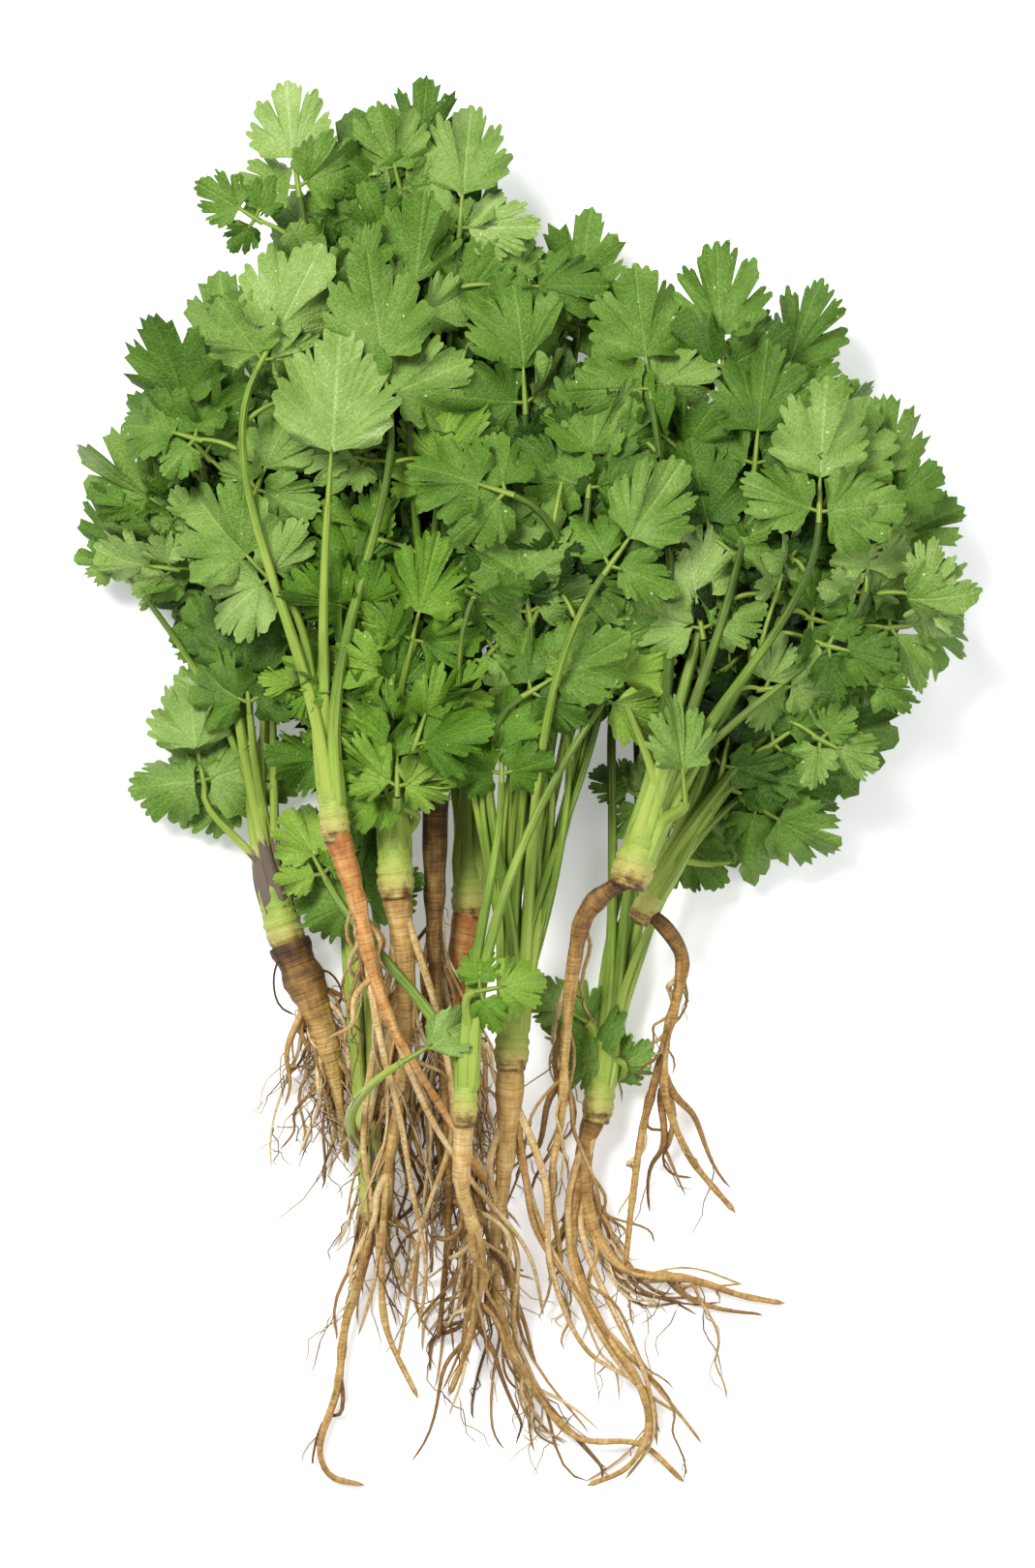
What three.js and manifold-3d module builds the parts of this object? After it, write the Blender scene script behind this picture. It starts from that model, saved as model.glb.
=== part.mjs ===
// A bunch of whole coriander plants, pulled with their roots and laid flat on a surface.
// Millimetres, +Z up. The roots point to -Y and the leaves to +Y.
// The origin is the flat spot under the crown of the lowest plant, where it touches the surface.
import * as THREE from "three";
import { mergeVertices } from "three/addons/utils/BufferGeometryUtils.js";
import Module from "manifold-3d";

const wasm = await Module();
wasm.setup();

// Driving dimensions
const BLADE_THICKNESS = 0.8;
const CLEARANCE = 0.4; // kept between one plant and the next
const STALK_RADII = [1.75, 0.95]; // a leaf stalk where it leaves the crown, and at its leaf
const SIDE_ROOT_RADII = [1.2, 0.5];
const ROOT_TIP_RADIUS = 0.55;
const TAPROOT_SHARE = 0.62; // a taproot's top in radii of its crown
const FORK_SHARE = 0.34;
const CROWN_LENGTH = 20;
const STALKS_START = 0.42; // along the crown from its middle, in crown lengths
const RUFFLE = 0.1; // how far a leaf's teeth stand up or down, in leaflet lengths
const BOW_STEP = 4;
const STEP_LENGTH = 36; // of the facets along a stalk
const FURTHEST_ROOT = -174;
const FREE_LENGTH = 45; // from the middle of a crown, past which its stalks keep apart
const SIDE_ROOTS = 3; // on each taproot
const SIDE_ROOT_TRIES = 40;
const LOWEST_LIMB = 2; // height of the middle of the lowest stalks and side roots
const THREAD = 0.5; // radius of the section that a limb is extruded with before it is swollen
const WELD = 1e-4;
const FINEST = 0.02; // detail under this is merged away after the joins

// Half of a leaflet's outline in its own lengths, from its neck to its tip: sideways, along, and
// whether the point is a tooth, which ends in an edge. The tip closes both halves.
const NECK = 0.018; // half the width of a leaf's rib where it joins its stalk
const LOBED = [
  [0.46, 0.22, true],
  [0.42, 0.35, false],
  [0.58, 0.5, true],
  [0.45, 0.75, true],
  [0.19, 0.58, false],
  [0.28, 0.88, true],
  [0.13, 0.86, false],
];
const PLAIN = [
  [0.47, 0.32, true],
  [0.3, 0.5, false],
  [0.36, 0.82, true],
  [0.12, 0.76, false],
];
const RIB_LENGTH = 0.4; // from the stalk's end to the neck of the end leaflet, in its lengths
const ROOTED = 0.03; // how far the rib is sunk into the stalk
const SIDE_FOOT = -0.34; // where the side leaflets stand on that rib
const FRONT_HEIGHT = 25; // leaves above this are seen, and have the fuller outlines

// Each plant: its crown's middle, the way the crown points in degrees from +Y towards +X, and its
// radius; then its leaf stalks, and then its taproot with any fork.
// A stalk is [x, y, z of its leaf, way that points, leaflet length], and then, where they differ
// from the rest, the way it leaves the crown and whether its end leaflet is alone.
const PLANTS = {
  left: {
    crown: [-54, -9, 13],
    points: -17,
    radius: 5.6,
    stalks: [
      [-80, 136, 34, -15, 30],
      [-90, 109, 22, -60, 31],
      [-79, 88, 10, -75, 25],
      [-69, 34, 10, -30, 33],
      [-63, 60, 27, -5, 30],
    ],
    roots: [
      [[-50, -19, 13], [-43, -38, 12], [-38, -58, 9], [-35, -80, 4]],
    ],
  },
  hero: {
    crown: [-38, 22, 45],
    points: -7,
    radius: 4.3,
    stalks: [
      [-38, 120, 57, 4, 36, -7, true],
      [-53, 154, 52, 28, 31],
      [-56, 93, 47, -45, 31],
      [-24, 146, 53, -8, 34],
    ],
    roots: [
      [[-37, 12, 45], [-31, -5, 45], [-27, -23, 44], [-21, -40, 41], [-8, -62, 36], [5, -84, 28]],
    ],
  },
  frill: {
    crown: [-21, 6, 32],
    points: -3,
    radius: 5.4,
    stalks: [
      [-20, 36, 47, 0, 28],
      [-24, 62, 44, -8, 27],
      [-14, 76, 47, 14, 27],
      [-31, 88, 38, -5, 28],
      [-8, 117, 45, 5, 29],
    ],
    roots: [
      [[-19, -5, 32], [-18, -26, 29], [-19, -53, 25], [-23, -80, 21], [-25, -104, 15], [-24, -126, 8],
        [-15, -147, 3]],
    ],
  },
  tall: {
    crown: [-10, 34, 22],
    points: -3,
    radius: 4.2,
    stalks: [
      [-49, 203, 38, -8, 27],
      [-31, 195, 34, -5, 28],
      [-14, 206, 30, 5, 25],
      [-2, 193, 37, 5, 31],
      [-15, 168, 44, 5, 30],
    ],
    roots: [
      [[-10, 24, 22], [-10, 0, 20], [-10, -22, 19], [-8, -50, 16], [-6, -90, 12], [-9, -130, 6]],
    ],
  },
  base: {
    crown: [0, 0, 4.6],
    points: 0,
    radius: 5.6,
    stalks: [
      [-18, 134, 10, -10, 30],
      [4, 158, 7, 5, 30],
      [-42, 139, 8, -20, 30],
      [31, 166, 22, 5, 29],
    ],
    roots: [
      [[0, -11, 5], [-3, -24, 6], [-3, -45, 6], [-1, -77, 5], [-2, -112, 3]],
    ],
  },
  middle: {
    crown: [12, -42, 30],
    points: 3,
    radius: 5,
    stalks: [
      [15, 144, 42, -3, 32],
      [34, 120, 48, 5, 32],
      [44, 96, 58, 35, 31],
      [3, 111, 59, -72, 25],
      [24, 58, 51, 60, 27],
      [15, 85, 50, -10, 31],
    ],
    roots: [
      [[12, -52, 29], [10, -77, 24], [7, -101, 19], [9.5, -125, 13], [18, -144, 8], [31, -158, 5],
        [48.5, -160, 4], [61, -171, 2]],
    ],
  },
  front: {
    crown: [-1, -57, 46],
    points: 2,
    radius: 3.6,
    stalks: [
      [42, 58, 47, 35, 25, 2],
      [14, -27, 51, 80, 22, 20],
      [9, 38, 48, 0, 23],
      [-46, 8, 30, -58, 25, -30],
    ],
    roots: [
      [[-1, -67, 46], [-2, -84, 41], [3, -104, 30], [0, -128, 16], [-6, -146, 5]],
    ],
  },
  right: {
    crown: [47, 9, 45],
    points: 19,
    radius: 6,
    stalks: [
      [97, 113, 55, 2, 32],
      [70, 153, 45, -5, 30],
      [49, 147, 47, -8, 30],
      [80, 126, 50, 5, 30],
      [59, 32, 57, -5, 21, 19, true],
      [63, 80, 47, -10, 29],
    ],
    roots: [
      [[42, 1, 44], [33, -7, 40], [29, -23, 35], [27, -42, 30], [26, -63, 25], [23, -85, 18],
        [26, -108, 10]],
    ],
  },
  side: {
    crown: [52, -2, 24],
    points: 30,
    radius: 3.8,
    stalks: [
      [117, 115, 40, -4, 27],
      [121, 98, 28, 62, 23],
      [101, 55, 28, 50, 29],
      [85, 31, 20, 75, 27],
      [66, 18, 14, 60, 28],
      [90, 147, 28, 20, 30],
    ],
    roots: [
      [[54, -11, 24], [59.7, -20, 22], [58.6, -31, 20], [55, -46, 17], [55.5, -60, 13], [62, -77, 8],
        [75.6, -94, 3]],
      [[55, -46, 17], [49, -69, 13], [46, -90, 11], [44, -109, 10]],
    ],
  },
  low: {
    crown: [37, -58, 11],
    points: 8,
    radius: 4.6,
    stalks: [
      [85, 117, 5, 25, 30],
      [99, 85, 5, 45, 30],
      [74, 58, 11, 50, 28],
      [42, 80, 13, 5, 28],
      [28, -36, 15, -60, 15, -25, true],
    ],
    roots: [
      [[35, -67, 11], [32.4, -76, 10], [35, -98, 8], [44.5, -110, 6], [63.5, -113, 4], [77, -117.5, 3],
        [90, -120, 1.5]],
      [[32.4, -76, 10], [29, -104, 10], [38, -127, 9], [48, -142, 9], [50.5, -155, 9], [45, -166, 6],
        [33, -172, 3]],
    ],
  },
  far: {
    crown: [-28, -86, 13],
    points: -3,
    radius: 3.8,
    stalks: [
      [-66, 150, 14, -15, 30],
      [-44, 6, 8, -30, 26],
      [-69, 85, 5, -45, 28],
      [-36, 61, 13, 0, 27],
      [-12, -45, 47, 60, 19, -60, true],
    ],
    roots: [
      [[-29, -95, 12], [-30.5, -108, 9], [-35.6, -125.5, 5], [-38, -144, 4], [-43, -162, 3],
        [-40, -169, 2.5], [-30, -172, 1.5]],
    ],
  },
};

// A number from 0 to 1 that depends only on a thing's own number and on what is drawn for it.
function draw(thing, what) {
  const wave = Math.sin(thing * 12.9898 + what * 78.233) * 43758.5453;
  return wave - Math.floor(wave);
}

const between = (low, high, share) => low + (high - low) * share;
const radians = (degrees) => (degrees * Math.PI) / 180;
const wayOf = (degrees, rise = 0) =>
  new THREE.Vector3(Math.sin(radians(degrees)), Math.cos(radians(degrees)), rise).normalize();

// A three.js geometry as a solid that can be joined and cut.
function solidOf(geometry) {
  const bare = geometry.clone();
  bare.deleteAttribute("normal");
  bare.deleteAttribute("uv");
  const merged = mergeVertices(bare, WELD);
  const corners = merged.index.array;
  const kept = [];
  for (let i = 0; i < corners.length; i += 3) {
    const [a, b, c] = corners.slice(i, i + 3);
    if (a !== b && b !== c && c !== a) kept.push(a, b, c);
  }
  return new wasm.Manifold(
    new wasm.Mesh({
      numProp: 3,
      vertProperties: new Float32Array(merged.attributes.position.array),
      triVerts: new Uint32Array(kept),
    }),
  );
}

function geometryOf(solid) {
  const { numProp, numVert, vertProperties, triVerts } = solid.getMesh();
  const places = new Float32Array(numVert * 3);
  for (let i = 0; i < numVert; i++) {
    places.set(vertProperties.subarray(i * numProp, i * numProp + 3), i * 3);
  }
  const geometry = new THREE.BufferGeometry();
  geometry.setAttribute("position", new THREE.BufferAttribute(places, 3));
  geometry.setIndex(new THREE.BufferAttribute(triVerts, 1));
  geometry.computeVertexNormals();
  return geometry;
}

// A round limb along a curve: a thin extrusion swollen to the radius wanted at each step.
function limb(curve, radiusAt, sides, steps, extra = 0) {
  const corners = Array.from({ length: sides }, (_, i) => {
    const turn = (i / sides) * 2 * Math.PI;
    return new THREE.Vector2(Math.cos(turn), Math.sin(turn)).multiplyScalar(THREAD);
  });
  const geometry = new THREE.ExtrudeGeometry(new THREE.Shape(corners), {
    steps,
    bevelEnabled: false,
    extrudePath: curve,
  });
  const middles = curve.getSpacedPoints(steps);
  const place = geometry.getAttribute("position");
  const point = new THREE.Vector3();
  for (let i = 0; i < place.count; i++) {
    point.fromBufferAttribute(place, i);
    const step = nearest(middles, point);
    const swell = (radiusAt(step / steps) + extra) / THREAD;
    point.sub(middles[step]).multiplyScalar(swell).add(middles[step]);
    place.setXYZ(i, point.x, point.y, point.z);
  }
  return solidOf(geometry);
}

function nearest(points, to) {
  const gaps = points.map((point) => point.distanceToSquared(to));
  return gaps.indexOf(Math.min(...gaps));
}

const TIP = [0, 1, true];
const mirrored = ([x, y, tooth]) => [-x, y, tooth];

// The whole outline of a leaf of three leaflets cut to the rib, or of one leaflet alone.
function leafOutline({ front, lone, number }) {
  const end = front ? LOBED : PLAIN;
  const right = [[NECK, -RIB_LENGTH - ROOTED, false]];
  const left = [mirrored(right[0])];
  if (!lone) {
    right.push(...sideLeaflet(number * 2));
    left.push(...sideLeaflet(number * 2 + 1).map(mirrored));
  }
  right.push([NECK, 0, false], ...end);
  left.push([-NECK, 0, false], ...end.map(mirrored));
  return [...right, TIP, ...left.reverse()];
}

// The outline of one side leaflet, from its lower edge round its tip to its upper edge.
function sideLeaflet(number) {
  const turn = radians(between(76, 88, draw(number, 53)));
  const size = between(0.6, 0.7, draw(number, 55));
  const rim = [[NECK, 0.02, false], ...PLAIN, TIP, ...PLAIN.map(mirrored).reverse(), [-NECK, 0.02, false]];
  return rim.map(([x, y, tooth]) => {
    const aside = (y * Math.sin(turn) + x * Math.cos(turn)) * size;
    const along = (y * Math.cos(turn) - x * Math.sin(turn)) * size;
    return [NECK + aside, SIDE_FOOT + along, tooth];
  });
}

// An outline grown outward by a distance.
function grown(outline, by) {
  return outline.map(([x, y, tooth], i) => {
    const before = outline.at(i - 1);
    const after = outline[(i + 1) % outline.length];
    const one = new THREE.Vector2(y - before[1], before[0] - x).normalize();
    const two = new THREE.Vector2(after[1] - y, x - after[0]).normalize();
    const out = one.add(two).normalize().multiplyScalar(by);
    return [x + out.x, y + out.y, tooth];
  });
}

// A leaf: its outline extruded to a blade and arched across its rib and along it. Its teeth end in
// an edge and stand up or down a little. Where it would pass the surface it lies flat on it.
function leaf(form, extra = 0) {
  const { at, ahead, up, length, number } = form;
  const plain = leafOutline(form);
  const outline = extra ? grown(plain, extra / length) : plain;
  const placeOf = (x, y) => x.toFixed(4) + " " + y.toFixed(4);
  const toothAt = new Map(outline.map(([x, y, tooth], i) => [placeOf(x, y), tooth ? i : 0]));
  const shape = new THREE.Shape(outline.map(([x, y]) => new THREE.Vector2(x, y)));
  const geometry = new THREE.ExtrudeGeometry(shape, { depth: 1, steps: 1, bevelEnabled: false });
  const side = new THREE.Vector3().crossVectors(ahead, up);
  const arch = between(0.1, 0.6, draw(number, 1));
  const droop = between(-0.05, 0.35, draw(number, 2));
  const half = BLADE_THICKNESS / 2 + extra;
  const place = geometry.getAttribute("position");
  for (let i = 0; i < place.count; i++) {
    const [x, y, face] = [place.getX(i), place.getY(i), place.getZ(i) * 2 - 1];
    const tooth = toothAt.get(placeOf(x, y));
    const ruffle = tooth ? RUFFLE * (draw(number, tooth) - 0.5) : 0;
    const bend = (ruffle - arch * x * x - droop * Math.max(y, 0) ** 2) * length;
    const edge = tooth && !extra;
    const point = at
      .clone()
      .addScaledVector(side, x * length)
      .addScaledVector(ahead, y * length)
      .addScaledVector(up, bend + (edge ? 0 : face * half));
    const lowest = edge ? half : (face + 1) * half - extra;
    place.setXYZ(i, point.x, point.y, Math.max(point.z, lowest));
  }
  return solidOf(geometry);
}

// The ways a stalk may bow, up and sideways, to pass clear of what is already there.
const ASIDE_COST = 1.6;
const bowCost = ([up, aside]) => Math.abs(up) + ASIDE_COST * Math.abs(aside);
const BOWS = [0, 1, -1, 2, -2, 3, -3, 4, -4].flatMap((up) =>
  [0, 1, -1, 2, -2].map((aside) => [up, aside]),
);
BOWS.sort((a, b) => bowCost(a) - bowCost(b));

// How a stalk's leaf lies: the neck of its end leaflet, the way it points and the way it faces.
function leafOf(stalk, number) {
  const [x, y, z, arrives, length, , lone] = stalk;
  const key = Math.round(x * 3 + y * 7);
  const ahead = wayOf(arrives, between(-0.15, 0.18, draw(key, 50)));
  const lean = new THREE.Vector3(
    between(-0.45, 0.45, draw(key, 51)),
    between(-0.5, 0.25, draw(key, 52)),
    1,
  );
  const side = new THREE.Vector3().crossVectors(ahead, lean).normalize();
  const up = new THREE.Vector3().crossVectors(side, ahead);
  const at = new THREE.Vector3(x, y, z);
  return { at, ahead, up, length, number, lone, front: z > FRONT_HEIGHT };
}

// A stalk's place in its crown's fan, counted from the left.
function rankOf(plant, stalk) {
  const bearing = ([x, y]) => Math.atan2(x - plant.crown[0], y - plant.crown[1]);
  return plant.stalks.filter((other) => bearing(other) < bearing(stalk)).length;
}

// The curve of one leaf stalk, from inside its crown to its leaf. In the crown the stalks stand in
// two rows, one over the other, in the order of the ways that they go.
function stalkCurve(plant, stalk, [up, aside]) {
  const leaves = stalk[5] ?? plant.points;
  const rank = rankOf(plant, stalk);
  const spread = (rank + 0.5) / plant.stalks.length - 0.5;
  const axis = wayOf(plant.points);
  const start = new THREE.Vector3(...plant.crown)
    .addScaledVector(axis, CROWN_LENGTH * STALKS_START)
    .add(new THREE.Vector3(axis.y, -axis.x, 0).multiplyScalar(plant.radius * 1.25 * spread));
  start.z += plant.radius * (rank % 2 ? 0.33 : -0.33);
  const blade = leafOf(stalk, 0);
  const end = blade.at.clone().addScaledVector(blade.ahead, -RIB_LENGTH * blade.length);
  const reach = start.distanceTo(end);
  const first = start.clone().addScaledVector(wayOf(leaves), reach * 0.38);
  const second = end.clone().addScaledVector(blade.ahead, -reach * 0.28);
  first.add(new THREE.Vector3(aside, 0, up).multiplyScalar(BOW_STEP * 0.6));
  second.add(new THREE.Vector3(aside, 0, up).multiplyScalar(BOW_STEP));
  for (const point of [first, second]) point.z = Math.max(point.z, LOWEST_LIMB);
  return new THREE.CubicBezierCurve3(start, first, second, end);
}

const stalkRadius = (share) => between(...STALK_RADII, share);

// Places along a curve with the radius there, for telling whether limbs touch.
function trace(curve, radiusAt, owner, count = 36) {
  const crown = new THREE.Vector3(...plants[owner].crown);
  return Array.from({ length: count + 1 }, (_, i) => {
    const point = curve.getPoint(i / count);
    const free = point.distanceTo(crown) > FREE_LENGTH;
    return { point, radius: radiusAt(i / count), owner, free };
  });
}

// How far a limb goes into others at its worst. Limbs of one plant may touch near their crown.
function clash(own, others) {
  let worst = 0;
  for (const a of own) {
    for (const b of others) {
      if (a.owner === b.owner && !(a.free && b.free)) continue;
      const gap = a.point.distanceTo(b.point) - a.radius - b.radius - CLEARANCE;
      worst = Math.max(worst, -gap);
    }
  }
  return worst;
}

function crownCurve(plant) {
  const axis = wayOf(plant.points);
  const middle = new THREE.Vector3(...plant.crown);
  return new THREE.LineCurve3(
    middle.clone().addScaledVector(axis, -CROWN_LENGTH / 2),
    middle.clone().addScaledVector(axis, CROWN_LENGTH / 2),
  );
}

// A crown swells from its root to past its middle, and narrows a little to its stalks.
const crownRadius = (radius) => (share) =>
  radius * (0.5 + 0.5 * Math.sin(Math.PI * (0.15 + 0.6 * share)));

function rootCurve(points) {
  return new THREE.CatmullRomCurve3(points.map((point) => new THREE.Vector3(...point)));
}

// A root's points with the first one moved up out of its top by a distance.
function startedHigher([first, second, ...rest], by) {
  const top = new THREE.Vector3(...first);
  const away = top.clone().sub(new THREE.Vector3(...second)).normalize();
  return [top.addScaledVector(away, by).toArray(), second, ...rest];
}

const rootRadius = (thick) => (share) => between(thick, ROOT_TIP_RADIUS, Math.pow(share, 0.8));
const rootThickness = (plant, fork) => plant.radius * (fork ? FORK_SHARE : TAPROOT_SHARE);

// Every stalk's curve. Each is bowed as little as passes clear of the other plants' limbs.
function layStalks() {
  const placed = [];
  plants.forEach((plant, own) => {
    placed.push(...trace(crownCurve(plant), crownRadius(plant.radius), own));
    plant.roots.forEach((points, fork) => {
      placed.push(...trace(rootCurve(points), rootRadius(rootThickness(plant, fork)), own));
    });
  });
  return plants.map((plant, own) =>
    plant.stalks.map((stalk) => {
      let best = null;
      for (const bow of BOWS) {
        const curve = stalkCurve(plant, stalk, bow);
        const marks = trace(curve, stalkRadius, own);
        const depth = clash(marks, placed);
        if (!best || depth < best.depth) best = { curve, marks, depth };
        if (depth === 0) break;
      }
      placed.push(...best.marks);
      return best.curve;
    }),
  );
}

// The stalks and the crown of a plant, without leaves.
function stemsOf(plant, curves, extra = 0) {
  const stalks = curves.map((curve) => {
    const steps = Math.max(3, Math.round(curve.getLength() / STEP_LENGTH));
    return limb(curve, stalkRadius, 4, steps, extra);
  });
  const crown = limb(crownCurve(plant), crownRadius(plant.radius), 8, 3, extra);
  return union([crown, ...stalks]);
}

// A taproot with its fork. Grown by an extra width, it starts that much higher too.
function taprootOf(plant, extra = 0) {
  const roots = plant.roots.map((points, fork) => {
    const curve = rootCurve(extra && !fork ? startedHigher(points, extra) : points);
    return limb(curve, rootRadius(rootThickness(plant, fork)), 5, points.length, extra);
  });
  return union(roots);
}

// One thin side root, trailing from a taproot towards the surface.
function sideRoot(plant, number, extra = 0) {
  const taproot = rootCurve(plant.roots[0]);
  const start = taproot.getPointAt(between(0.1, 0.75, draw(number, 60)));
  const way = wayOf(180 + between(-42, 42, draw(number, 61)), between(-0.5, 0.1, draw(number, 62)));
  const length = between(22, 62, draw(number, 63));
  const middle = start.clone().addScaledVector(way, length * 0.5);
  const end = start
    .clone()
    .addScaledVector(way, length * 0.75)
    .add(new THREE.Vector3(between(-9, 9, draw(number, 64)), -length * 0.25, -length * 0.15));
  for (const point of [middle, end]) point.z = Math.max(point.z, LOWEST_LIMB);
  const curve = new THREE.QuadraticBezierCurve3(start, middle, end);
  return limb(curve, (share) => between(...SIDE_ROOT_RADII, share), 3, 3, extra);
}

// The numbers of a plant's side roots: of those tried, the ones that pass clear of all else.
function sideRootsOf(plant, own, obstacles) {
  const kept = [];
  for (let attempt = 0; attempt < SIDE_ROOT_TRIES && kept.length < SIDE_ROOTS; attempt++) {
    const number = own * 100 + attempt;
    const root = sideRoot(plant, number);
    const inside = root.boundingBox().min[1] > FURTHEST_ROOT;
    if (inside && root.intersect(obstacles).isEmpty()) kept.push(number);
  }
  return kept;
}

// The largest body of a solid: scraps that a cut leaves loose are dropped.
function largestBody(solid) {
  const bodies = solid.decompose();
  return bodies.reduce((best, body) => (body.volume() > best.volume() ? body : best));
}

function union(solids) {
  return wasm.Manifold.union(solids);
}

const others = (solids, own) => solids.filter((_, i) => i !== own);
const names = Object.keys(PLANTS);
const plants = names.map((name) => PLANTS[name]);
const stalkCurves = layStalks();
const stems = plants.map((plant, own) => stemsOf(plant, stalkCurves[own]));
const wideStems = plants.map((plant, own) => stemsOf(plant, stalkCurves[own], CLEARANCE));
const wideTaproots = plants.map((plant) => taprootOf(plant, CLEARANCE));

// Roots first, so that the leaves can be cut clear of them.
const wideRoots = [...wideTaproots];
const roots = plants.map((plant, own) => {
  const obstacles = union([...wideStems, ...others(wideRoots, own)]);
  const kept = sideRootsOf(plant, own, obstacles);
  const side = kept.map((number) => sideRoot(plant, number));
  const wide = kept.map((number) => sideRoot(plant, number, CLEARANCE));
  wideRoots[own] = union([wideTaproots[own], ...wide]);
  const taproot = taprootOf(plant).subtract(union(others(wideTaproots, own)));
  return largestBody(union([taproot, ...side]));
});

// Each shoot: its stems with its leaves, which are cut where another plant passes through them.
const wideLeaves = [];
const shoots = plants.map((plant, own) => {
  const forms = plant.stalks.map((stalk, index) => leafOf(stalk, own * 10 + index));
  const passing = union([...others(wideStems, own), ...wideRoots, ...wideLeaves]);
  const leaves = union(forms.map((form) => leaf(form))).subtract(passing);
  wideLeaves.push(union(forms.map((form) => leaf(form, CLEARANCE))));
  const stem = stems[own].subtract(union([...wideStems.slice(0, own), ...wideRoots]));
  return largestBody(union([stem, leaves]));
});

const SHOOT_GREEN = { color: "#5f8f36", roughness: 0.6, metalness: 0 };
const ROOT_TAN = { color: "#b08a52", roughness: 0.85, metalness: 0 };
const bunch = new THREE.Group();

// Adds a solid to the bunch as a named piece, cut flat where it rests on the surface.
function addPiece(name, solid, finish) {
  const trimmed = solid.trimByPlane([0, 0, 1], 0).simplify(FINEST);
  const material = new THREE.MeshStandardMaterial(finish);
  const mesh = new THREE.Mesh(geometryOf(largestBody(trimmed)), material);
  mesh.name = name;
  bunch.add(mesh);
}

names.forEach((name, own) => {
  addPiece(name + "_shoot", shoots[own], SHOOT_GREEN);
  addPiece(name + "_root", roots[own], ROOT_TAN);
});

export default bunch;
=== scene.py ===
"""The looks of a bunch of whole coriander plants, lying flat on a pale surface, seen from above."""
import math
from functools import partial

import bmesh
import bpy
import numpy as np
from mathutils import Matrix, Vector


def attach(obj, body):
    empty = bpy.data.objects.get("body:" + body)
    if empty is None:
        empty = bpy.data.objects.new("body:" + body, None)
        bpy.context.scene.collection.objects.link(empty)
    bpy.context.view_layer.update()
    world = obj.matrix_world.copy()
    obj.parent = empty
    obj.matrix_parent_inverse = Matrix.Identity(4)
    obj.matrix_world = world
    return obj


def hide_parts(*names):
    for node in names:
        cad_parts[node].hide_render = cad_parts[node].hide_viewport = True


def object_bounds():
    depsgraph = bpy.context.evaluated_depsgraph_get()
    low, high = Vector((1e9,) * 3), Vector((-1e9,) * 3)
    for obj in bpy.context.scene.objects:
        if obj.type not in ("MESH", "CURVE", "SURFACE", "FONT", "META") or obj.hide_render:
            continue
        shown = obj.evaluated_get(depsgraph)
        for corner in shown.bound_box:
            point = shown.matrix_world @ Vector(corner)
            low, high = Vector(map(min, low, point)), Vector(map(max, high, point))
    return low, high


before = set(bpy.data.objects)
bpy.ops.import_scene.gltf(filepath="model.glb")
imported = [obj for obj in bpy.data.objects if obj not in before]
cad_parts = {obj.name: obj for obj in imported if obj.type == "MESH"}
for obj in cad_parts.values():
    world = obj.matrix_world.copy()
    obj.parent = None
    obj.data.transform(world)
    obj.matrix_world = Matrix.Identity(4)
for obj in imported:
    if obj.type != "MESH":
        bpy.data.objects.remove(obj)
cad_low, cad_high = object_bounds()

MM = 0.001
FULL_TURN = 6.28

# Limbs, in millimetres
STALK_RADII = (1.75, 0.95)
ROOT_TIP_RADIUS = 0.4
CROWN_LENGTH = 20
FREE_LENGTH = 45  # nearer to its own crown a limb may touch the others of its plant
CLEARANCE = 0.4
BOW_STEP = 4
LOWEST_LIMB = 2
FURTHEST_ROOT = -171

# Shares of a crown's radius, of its length and of a leaflet's length
TAPROOT_SHARE = 0.62
FORK_SHARE = 0.34
STALKS_START = 0.42
RIB_LENGTH = 0.4
SIDE_FOOT = -0.34

# Leaves, in millimetres: their thickness, the space that they keep to, and how far off others
# cover them and stand beside them
LEAF_THICKNESS = 0.35
LEAF_LOW = np.array([-116.6, -60, 0.5])
LEAF_HIGH = np.array([142.5, 230.4, 62.3])
COVERS_WITHIN = 18
NEIGHBOURS_WITHIN = 35

# Steps along curves, and gaps in a mesh, in metres
STALK_STEPS = 36
FINE_STEPS = 60
MERGE_WITHIN = 2e-6
ABOVE_BOARD = 1e-5

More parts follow.
